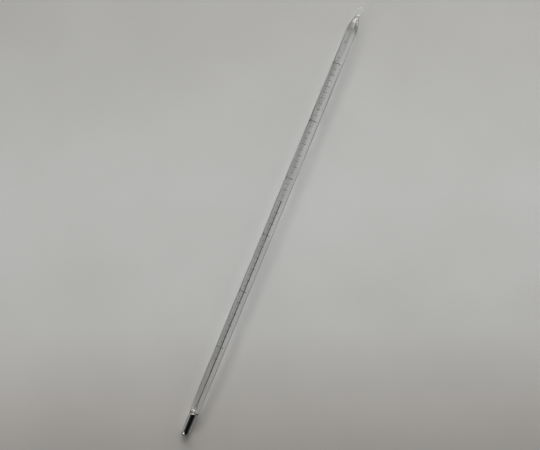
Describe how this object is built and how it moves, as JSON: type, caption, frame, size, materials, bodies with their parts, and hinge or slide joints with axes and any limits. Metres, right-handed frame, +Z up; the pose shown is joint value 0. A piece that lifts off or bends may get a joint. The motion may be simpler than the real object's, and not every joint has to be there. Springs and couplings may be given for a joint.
{
  "type": "glass laboratory thermometer",
  "caption": "Solid-stem mercury thermometer: a clear glass rod with a slim bulb, a capillary with its mercury thread, a fine scale and a hanging loop.",
  "frame": {"origin": "on the surface that the thermometer lies on, under the middle of its length", "axes": "+X along the stem from the bulb to the hanging ring, +Z up, with the scale facing up"},
  "size_m": [0.305, 0.007, 0.0071],
  "materials": {
    "clear_glass": "clear, fire-polished, faintly grey-green",
    "mercury": "liquid mirror",
    "scale_ink": "thin fired-on dark enamel"
  },
  "bodies": {
    "thermometer": {"glass_stem": "clear_glass", "bulb_glass": "clear_glass", "hanging_ring": "clear_glass", "mercury_reservoir": "mercury", "graduation_minus_02": "scale_ink", "graduation_00": "scale_ink", "graduation_02": "scale_ink", "graduation_04": "scale_ink", "graduation_06": "scale_ink", "graduation_08": "scale_ink", "graduation_10": "scale_ink", "graduation_12": "scale_ink", "graduation_14": "scale_ink", "graduation_16": "scale_ink", "graduation_18": "scale_ink", "graduation_20": "scale_ink", "graduation_22": "scale_ink", "graduation_24": "scale_ink", "graduation_26": "scale_ink", "graduation_28": "scale_ink", "graduation_30": "scale_ink", "graduation_32": "scale_ink", "graduation_34": "scale_ink", "graduation_36": "scale_ink", "graduation_38": "scale_ink", "graduation_40": "scale_ink", "graduation_42": "scale_ink", "graduation_44": "scale_ink", "graduation_46": "scale_ink", "graduation_48": "scale_ink", "graduation_50": "scale_ink"},
    "mercury_column": {"mercury_thread": "mercury"}
  },
  "joints": [
    {"name": "mercury_level", "type": "slide", "parent": "thermometer", "child": "mercury_column", "axis": [1, 0, 0], "range_m": [-0.112, 0.1], "deforming": ["mercury_thread"]}
  ]
}
